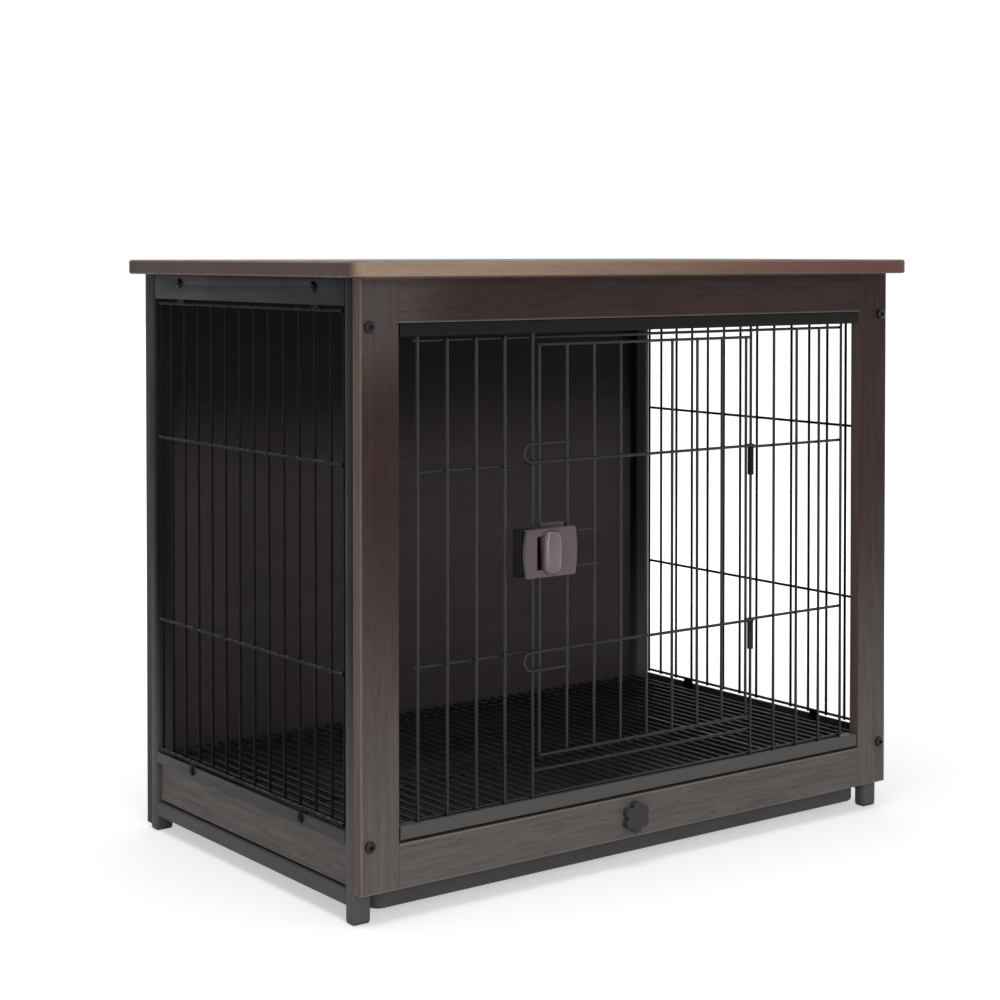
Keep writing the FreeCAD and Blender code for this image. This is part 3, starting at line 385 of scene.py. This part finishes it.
def makeBoard(name):
    made, tree, shader = newMaterial(name + "Wood")
    spec = woodNodes[name]
    kind = spec["kind"]
    tone = {part: fromSrgb(*value) for part, value in boardTones[kind].items()}
    low, high = wearBox(name)
    grain = placeGroup(tree, grainGroup, {"Stretch": spec["grain"], "Shift": spec["shift"], "Warp": boards["warp"]})
    wear = placeGroup(tree, edgeGroup, {"Low": low, "High": high, "Width": boards["wearWidth"]})["Mask"]
    narrow = placeGroup(tree, bandGroup, {"Axis": spec["thin"]})["Mask"]
    colour = mixColour(tree, grain["Figure"], tone["light"], tone["middle"])
    colour = mixColour(tree, times(tree, grain["Blotch"], boards["blotchShare"]), colour, tone["red"])
    lined = inverted(tree, times(tree, narrow, boards["bandCalm"]))
    # painted floor-bounce light on the front boards
    if kind == "front":
        colour = paleFrontWithPaintedBounce(tree, colour)
    # painted shadow on the back panel's inner face
    if kind == "back":
        colour, plain = plainInsideAndPaintedShadow(tree, colour, tone)
        lined = times(tree, lined, inverted(tree, plain))
    band = rimColourAndPaintedLight(tree) if kind == "top" else tone["band"]
    colour = mixColour(tree, times(tree, narrow, boards["bandShare"]), colour, band)
    for layer, share in boards["lineShares"].items():
        lines = times(tree, times(tree, grain[layer], share), lined)
        colour = mixColour(tree, lines, colour, tone["dark"])
    colour = mixColour(tree, times(tree, wear, boards["wearShare"]), colour, tone["worn"])
    wire(tree, colour, shader.inputs["Base Color"])
    wire(tree, spread(tree, grain["Streaks"], *boards["roughness"]), shader.inputs["Roughness"])
    shader.inputs["Specular IOR Level"].default_value = boards["shine"][kind]
    height = calculate(tree, "SUBTRACT", grain["Streaks"], grain["Pores"])
    addBump(tree, shader, height, boards["bump"], boards["bumpDepth"])
    return made


# steel, wire and plastics: "floor" is the share of painted light bounced up from the floor, a paleness towards the
# floor
finishes = {
    "blackSteel": {"tone": (13, 13, 14), "drift": (20, 20, 21), "rough": (0.42, 0.56),
                   "peel": 700.0, "bump": 0.05, "shine": 0.12, "floor": 0.8},
    # a lit copy of the black steel for the front posts and lower front bar: its lighter tone and larger floor share
    # are painted light
    "litFrontSteel": {"tone": (20, 22, 23), "drift": (27, 29, 30), "rough": (0.42, 0.56),
                   "peel": 700.0, "bump": 0.05, "shine": 0.16, "floor": 0.88},
    # the black steel of the side angles with a bluish tone, a painted reflection of bluish surroundings
    "angleSteelBlueSheen": {"tone": (17, 22, 27), "drift": (24, 30, 36), "rough": (0.38, 0.52),
                   "peel": 700.0, "bump": 0.05, "shine": 0.14, "floor": 0.4},
    "blackWire": {"tone": (13, 13, 14), "drift": (21, 21, 22), "rough": (0.3, 0.44),
                  "peel": 1300.0, "bump": 0.05, "shine": 0.3},
    # side wire panels: a darker, less glossy copy of the black wire; its full share of pale specks on upward faces
    # is mostly a painted highlight on the cross wires, with some dust
    "sideWire": {"tone": (5, 5, 6), "drift": (9, 9, 10), "rough": (0.4, 0.55),
                 "peel": 1300.0, "bump": 0.05, "shine": 0.07, "dustAndSheen": 1.0},
    # a lighter copy of the black wire for the floor grate, painted light in the dark cabin
    "litGrateWire": {"tone": (32, 32, 33), "drift": (44, 44, 45), "rough": (0.3, 0.44),
                  "peel": 1300.0, "bump": 0.05, "shine": 0.4},
    "darkSteel": {"tone": (5, 5, 6), "drift": (9, 9, 10), "rough": (0.1, 0.18),
                  "peel": 1500.0, "bump": 0.03, "shine": 0.07},
    "boltSteel": {"tone": (9, 8, 8), "drift": (16, 14, 14), "rough": (0.1, 0.18),
                  "peel": 1500.0, "bump": 0.03, "shine": 0.3},
    "blackPlastic": {"tone": (11, 11, 12), "drift": (17, 17, 18), "rough": (0.5, 0.66),
                     "peel": 1600.0, "bump": 0.12, "shine": 0.12, "floor": 0.7},
    "knobPlastic": {"tone": (52, 53, 52), "drift": (66, 67, 66), "rough": (0.52, 0.68),
                    "peel": 1600.0, "bump": 0.14, "shine": 0.2},
    "mauvePlastic": {"tone": (80, 65, 68), "drift": (91, 75, 79), "rough": (0.24, 0.36),
                     "peel": 1100.0, "bump": 0.03, "shine": 0.45},
    # the latch's mauve plastic on the grip, glossier, and lighter in tone as a painted highlight
    "litGripPlastic": {"tone": (97, 77, 81), "drift": (108, 87, 91), "rough": (0.1, 0.16),
                    "peel": 1100.0, "bump": 0.02, "shine": 0.65},
    "trayPlastic": {"tone": (66, 66, 66), "drift": (80, 80, 80), "rough": (0.46, 0.62),
                    "peel": 500.0, "bump": 0.12, "shine": 0.25},
}
allFinishes = {
    # colour of the pale specks: dust, and on the side wire panels painted highlight
    "dustAndSheenTone": (132, 128, 122),
    "dustAndSheen": 0.08,
    # the paler tone and the height of the painted floor-bounce light
    "floorTone": (98, 97, 96),
    "floorHeight": 0.3,
    "bumpDepth": 0.0004,
}


def makeFinish(name, spec):
    made, tree, shader = newMaterial(name)
    skin = placeGroup(tree, skinGroup, {"Peel": spec["peel"]})
    colour = mixColour(tree, skin["Drift"], fromSrgb(*spec["tone"]), fromSrgb(*spec["drift"]))
    # pale specks on upward faces: dust, and painted highlight where the share is full
    dustAndSheen = times(tree, skin["DustAndSheen"], spec.get("dustAndSheen", allFinishes["dustAndSheen"]))
    colour = mixColour(tree, dustAndSheen, colour, fromSrgb(*allFinishes["dustAndSheenTone"]))
    # painted floor-bounce light: paler towards the floor
    if "floor" in spec:
        lower = placeGroup(tree, heightGroup, {"High": allFinishes["floorHeight"]})["Near Floor"]
        colour = mixColour(tree, times(tree, lower, spec["floor"]), colour, fromSrgb(*allFinishes["floorTone"]))
    wire(tree, colour, shader.inputs["Base Color"])
    wire(tree, spread(tree, skin["Drift"], *spec["rough"]), shader.inputs["Roughness"])
    shader.inputs["Specular IOR Level"].default_value = spec["shine"]
    addBump(tree, shader, skin["Height"], spec["bump"], allFinishes["bumpDepth"])
    return made


# raw wood of the hidden dowels
dowels = {
    "light": (176, 142, 104),
    "dark": (150, 116, 80),
    "shift": (0.2, 0.5, 0.9),
    "warp": 0.3,
    "rough": (0.6, 0.75),
    "bump": 0.2,
    "bumpDepth": 0.0003,
}


def makeDowelWood():
    made, tree, shader = newMaterial("dowelWood")
    values = {"Stretch": alongX, "Shift": dowels["shift"], "Warp": dowels["warp"]}
    streaks = placeGroup(tree, grainGroup, values)["Streaks"]
    colour = mixColour(tree, streaks, fromSrgb(*dowels["light"]), fromSrgb(*dowels["dark"]))
    wire(tree, colour, shader.inputs["Base Color"])
    wire(tree, spread(tree, streaks, *dowels["rough"]), shader.inputs["Roughness"])
    addBump(tree, shader, streaks, dowels["bump"], dowels["bumpDepth"])
    return made


materials = {name: makeFinish(name, spec) for name, spec in finishes.items()}
materials["dowelWood"] = makeDowelWood()
for name in woodNodes:
    materials[name] = makeBoard(name)
slotFinish = {
    "dowel_wood": "dowelWood",
    "black_steel": "blackSteel",
    "black_wire": "blackWire",
    "dark_steel": "darkSteel",
    "black_plastic": "blackPlastic",
    "mauve_plastic": "mauvePlastic",
    "tray_plastic": "trayPlastic",
}
ownFinish = {
    "front_left_post": "litFrontSteel",
    "front_right_post": "litFrontSteel",
    "front_bottom_bar": "litFrontSteel",
    "left_top_angle": "angleSteelBlueSheen",
    "right_top_angle": "angleSteelBlueSheen",
    "left_middle_angle": "angleSteelBlueSheen",
    "right_middle_angle": "angleSteelBlueSheen",
    "left_wire_panel": "sideWire",
    "right_wire_panel": "sideWire",
    "floor_grate": "litGrateWire",
    "front_frame_bolts": "boltSteel",
    "star_knob": "knobPlastic",
    "latch_grip": "litGripPlastic",
}


def finishFor(name):
    if name in woodNodes:
        return materials[name]
    return materials[ownFinish.get(name) or slotFinish[slotOf[name]]]


for name, thing in nodes.items():
    thing.data.materials.clear()
    thing.data.materials.append(finishFor(name))
print("materials set:", len(materials))


# a mesh of its own for a node, riding on the same body
def standFor(name, mesh, label):
    piece = bpy.data.objects.new(label, mesh)
    bpy.context.scene.collection.objects.link(piece)
    mesh.materials.clear()
    mesh.materials.append(finishFor(name))
    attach(piece, bodyOf[name])
    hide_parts(name)


# points closer than this are one point
mergeDistance = 1e-6


def openMesh(mesh):
    work = bmesh.new()
    work.from_mesh(mesh)
    bmesh.ops.remove_doubles(work, verts=work.verts, dist=mergeDistance)
    return work


# smooth shading, except across edges that turn by more than the given degrees
def closeMesh(work, mesh, sharpFrom):
    for face in work.faces:
        face.smooth = True
    work.to_mesh(mesh)
    work.free()
    mesh.set_sharp_from_angle(angle=math.radians(sharpFrom))


# folded, drawn and moulded pieces with their real rounded edges
sections = {
    "posts": {"nodes": ("front_left_post", "front_right_post", "rear_left_post", "rear_right_post"),
              "round": 0.002, "edges": "long"},
    "tubes": {"nodes": ("left_lower_tube", "right_lower_tube", "front_top_bar", "front_bottom_bar"),
              "round": 0.0015, "edges": "long"},
    "feet": {"nodes": ("front_left_foot", "front_right_foot", "rear_left_foot", "rear_right_foot"),
             "round": 0.0027, "edges": "floor"},
    "angles": {"nodes": ("left_top_angle", "right_top_angle", "left_middle_angle", "right_middle_angle"),
               "round": 0.0005, "edges": "all"},
    "latch": {"nodes": ("latch_front_plate",), "round": 0.0011, "edges": "all"},
    "catches": {"nodes": ("tray_catch", "latch_bolt"), "round": 0.0004, "edges": "all"},
}
rounding = {
    "flatWithin": 1,
    "cornerFrom": 60,
    "longFrom": 0.1,
    "floorLevel": 1e-5,
    "segments": 4,
    "sharpFrom": 40,
}


# on hollow sections only the long outer corners are rounded, because their walls are thin;
# on feet only the edges that reach the floor
def isCorner(edge, wanted):
    if len(edge.link_faces) != 2 or edge.calc_face_angle(0) <= math.radians(rounding["cornerFrom"]):
        return False
    if wanted == "long":
        return edge.is_convex and edge.calc_length() >= rounding["longFrom"]
    if wanted == "floor":
        return min(vert.co.z for vert in edge.verts) < rounding["floorLevel"]
    return True


def roundSection(name, width, wanted):
    mesh = nodes[name].data.copy()
    work = openMesh(mesh)
    flat = math.radians(rounding["flatWithin"])
    bmesh.ops.dissolve_limit(work, angle_limit=flat, verts=work.verts, edges=work.edges)
    corners = [edge for edge in work.edges if isCorner(edge, wanted)]
    bmesh.ops.bevel(work, geom=corners, offset=width, segments=rounding["segments"], profile=0.5,
                    affect="EDGES", clamp_overlap=True)
    closeMesh(work, mesh, rounding["sharpFrom"])
    standFor(name, mesh, name + "Rounded")


for spec in sections.values():
    for name in spec["nodes"]:
        roundSection(name, spec["round"], spec["edges"])
print("sections rounded")

# latch grip: a rounded vertical barrel in place of the CAD block's front, with the neck sunk into it
grip = {
    "proud": 0.0067,
    "margin": 0.001,
    "sunk": 0.0006,
    "acrossPower": 0.85,
    "endPower": 0.5,
    "across": 28,
    "along": 28,
    "sharpFrom": 40,
}


def softPower(value, power):
    return math.copysign(abs(value) ** power, value)


# cuts off the block's front and closes the neck a little inside the barrel
def cutNeck(work, base):
    everything = work.verts[:] + work.edges[:] + work.faces[:]
    cut = base + grip["sunk"] / 2
    bmesh.ops.bisect_plane(work, geom=everything, plane_co=(0, cut, 0), plane_no=(0, -1, 0), clear_outer=True)
    for vert in work.verts:
        if vert.is_boundary:
            vert.co.y -= grip["sunk"]
    bmesh.ops.holes_fill(work, edges=[edge for edge in work.edges if edge.is_boundary], sides=0)


def addBarrel(work, base, left, right, bottom, top):
    middle, centre = (left + right) / 2, (bottom + top) / 2
    rows = []
    for step in range(grip["along"] + 1):
        rise = math.pi * (step / grip["along"] - 0.5)
        z = centre + (top - bottom) / 2 * softPower(math.sin(rise), grip["endPower"])
        full = softPower(math.cos(rise), grip["endPower"]) if abs(math.cos(rise)) > 1e-6 else 0.0
        row = []
        for turn in range(grip["across"] + 1):
            angle = math.pi * turn / grip["across"]
            x = middle - (right - left) / 2 * softPower(math.cos(angle), grip["acrossPower"]) * full
            y = base - grip["proud"] * softPower(max(math.sin(angle), 0.0), grip["acrossPower"]) * full
            row.append(work.verts.new((x, y, z)))
        rows.append(row)
    for under, over in zip(rows, rows[1:]):
        for index in range(len(under)):
            work.faces.new((under[index - 1], under[index], over[index], over[index - 1]))


def makeGrip():
    mesh = nodes["latch_grip"].data.copy()
    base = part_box("latch_grip")[0][1] + grip["proud"]
    front = [vert.co for vert in mesh.vertices if vert.co.y < base - grip["margin"]]
    left, right = min(co.x for co in front), max(co.x for co in front)
    bottom, top = min(co.z for co in front), max(co.z for co in front)
    work = openMesh(mesh)
    cutNeck(work, base)
    addBarrel(work, base, left, right, bottom, top)
    bmesh.ops.remove_doubles(work, verts=work.verts, dist=mergeDistance)
    bmesh.ops.recalc_face_normals(work, faces=work.faces)
    closeMesh(work, mesh, grip["sharpFrom"])
    standFor("latch_grip", mesh, "gripBarrel")


makeGrip()
print("latch grip made")

# side panel screws: domed heads with a small recess, turned about each screw's own axis;
# the profile gives shares of the head's radius and height
screwHead = {
    "profile": ((0.0, 0.68), (0.2, 0.68), (0.27, 0.92), (0.4, 1.0), (0.66, 0.88), (0.87, 0.58), (0.98, 0.22),
                (1.0, 0.0)),
    "height": 0.0024,
    "headRadius": 0.0052,
    "shankRadius": 0.00195,
    "tipLength": 0.0004,
    "tipShare": 0.7,
    "steps": 28,
    "sharpFrom": 50,
}


# the box of each separate screw in the node
def islandsOf(name):
    work = openMesh(nodes[name].data)
    left = set(work.verts)
    boxes = []
    while left:
        queue = [left.pop()]
        found = []
        while queue:
            vert = queue.pop()
            found.append(vert.co.copy())
            for edge in vert.link_edges:
                other = edge.other_vert(vert)
                if other in left:
                    left.remove(other)
                    queue.append(other)
        boxes.append([[pick(co[axis] for co in found) for axis in range(3)] for pick in (min, max)])
    work.free()
    return boxes


def turnScrew(work, low, high):
    way = 1 if low[0] > 0 else -1
    outer, tail = (high[0], low[0]) if way > 0 else (low[0], high[0])
    seat = outer - way * screwHead["height"]
    y, z = (low[1] + high[1]) / 2, (low[2] + high[2]) / 2
    shank, steps = screwHead["shankRadius"], screwHead["steps"]
    turned = [(seat + way * rise * screwHead["height"], share * screwHead["headRadius"])
              for share, rise in screwHead["profile"]]
    turned += [(seat, shank), (tail + way * screwHead["tipLength"], shank),
               (tail, shank * screwHead["tipShare"]), (tail, 0.0)]
    rings = []
    for x, radius in turned:
        ring = []
        for step in range(steps):
            angle = 2 * math.pi * step / steps
            ring.append(work.verts.new((x, y + radius * math.cos(angle), z + radius * math.sin(angle))))
        rings.append(ring)
    for ring, after in zip(rings, rings[1:]):
        for step in range(steps):
            follow = (step + 1) % steps
            work.faces.new((ring[step], ring[follow], after[follow], after[step]))


def makeSideScrews():
    work = bmesh.new()
    for low, high in islandsOf("side_panel_screws"):
        turnScrew(work, low, high)
    bmesh.ops.remove_doubles(work, verts=work.verts, dist=mergeDistance)
    bmesh.ops.recalc_face_normals(work, faces=work.faces)
    mesh = bpy.data.meshes.new("domedScrews")
    closeMesh(work, mesh, screwHead["sharpFrom"])
    standFor("side_panel_screws", mesh, "domedScrews")


makeSideScrews()
print("side screws made")

# studio: pale floor, soft lamps, and a camera at the photo's place
studio = {
    "white": (1, 1, 1, 1),
    "worldLight": 0.2,
    "floorSize": 14.0,
    "floorCells": 8,
    "floorLevel": -0.0002,
    "floorTone": (226, 226, 226),
    "floorRoughness": 0.9,
    "whiteFrom": (0.6, 1.5),
    "nearGlow": 0.5,
    "cameraPlace": (-1.3472, -1.7514, 0.6181),
    "cameraYaw": 36.79,
    "cameraPitch": 1.29,
    "sensor": 36.0,
    "lens": 73.3,
    "shift": -0.202,
    "farEnd": 100.0,
}


# 1 where the camera or a reflection meets the surface, 0 where the surface only lights the part
def seenShare(tree):
    path = addNode(tree, "ShaderNodeLightPath").outputs
    mirrored = calculate(tree, "MAXIMUM", path["Is Glossy Ray"], path["Is Transmission Ray"])
    return calculate(tree, "MAXIMUM", path["Is Camera Ray"], mirrored)


def makeFloor():
    work = bmesh.new()
    cells = studio["floorCells"]
    bmesh.ops.create_grid(work, x_segments=cells, y_segments=cells, size=studio["floorSize"])
    mesh = bpy.data.meshes.new("floor")
    work.to_mesh(mesh)
    work.free()
    floor = bpy.data.objects.new("floor", mesh)
    bpy.context.scene.collection.objects.link(floor)
    floor.location = (0, 0, studio["floorLevel"])
    made, tree, shader = newMaterial("paleFloor")
    shader.inputs["Base Color"].default_value = fromSrgb(*studio["floorTone"])
    shader.inputs["Roughness"].default_value = studio["floorRoughness"]
    away = vectorStep(tree, "LENGTH", coordinate(tree, "Object"))
    glow = spread(tree, ramp(tree, away, *studio["whiteFrom"]), studio["nearGlow"], 1.0)
    shader.inputs["Emission Color"].default_value = studio["white"]
    wire(tree, times(tree, seenShare(tree), glow), shader.inputs["Emission Strength"])
    mesh.materials.append(made)


def makeWorld():
    world = bpy.data.worlds.new("studioWorld")
    bpy.context.scene.world = world
    world.use_nodes = True
    tree = world.node_tree
    background = tree.nodes["Background"]
    background.inputs["Color"].default_value = studio["white"]
    wire(tree, spread(tree, seenShare(tree), studio["worldLight"], 1.0), background.inputs["Strength"])


lamps = {
    "overheadSoftbox": {"place": (-0.3, -0.2, 2.6), "aim": (0, 0, 0.3), "size": 2.4, "power": 46.0},
    "lowFront": {"place": (-1.1, -2.0, 0.35), "aim": (0, -0.2, 0.1), "size": 1.0, "power": 7.0},
    "frontKey": {"place": (-1.0, -2.6, 1.55), "aim": (0, 0, 0.25), "size": 0.8, "power": 12.0},
    "rearFill": {"place": (1.5, 2.4, 1.3), "aim": (0, 0.1, 0.3), "size": 1.6, "power": 7.0},
    "rightFill": {"place": (2.2, -1.6, 1.2), "aim": (0, 0, 0.3), "size": 1.6, "power": 2.5},
}


def makeLamp(name, spec):
    light = bpy.data.lights.new(name, "AREA")
    light.shape = "DISK"
    light.size = spec["size"]
    light.energy = spec["power"]
    lamp = bpy.data.objects.new(name, light)
    bpy.context.scene.collection.objects.link(lamp)
    lamp.location = spec["place"]
    lamp.rotation_euler = (Vector(spec["aim"]) - Vector(spec["place"])).to_track_quat("-Z", "Y").to_euler()


def makeCamera():
    lens = bpy.data.cameras.new("photoCamera")
    lens.sensor_width = studio["sensor"]
    lens.lens = studio["lens"]
    lens.shift_y = studio["shift"]
    lens.clip_end = studio["farEnd"]
    camera = bpy.data.objects.new("photoCamera", lens)
    bpy.context.scene.collection.objects.link(camera)
    camera.location = studio["cameraPlace"]
    camera.rotation_euler = (math.radians(90 - studio["cameraPitch"]), 0, math.radians(-studio["cameraYaw"]))
    bpy.context.scene.camera = camera


makeFloor()
makeWorld()
for name, spec in lamps.items():
    makeLamp(name, spec)
makeCamera()
bpy.context.scene.view_settings.view_transform = "Standard"
print("studio set")
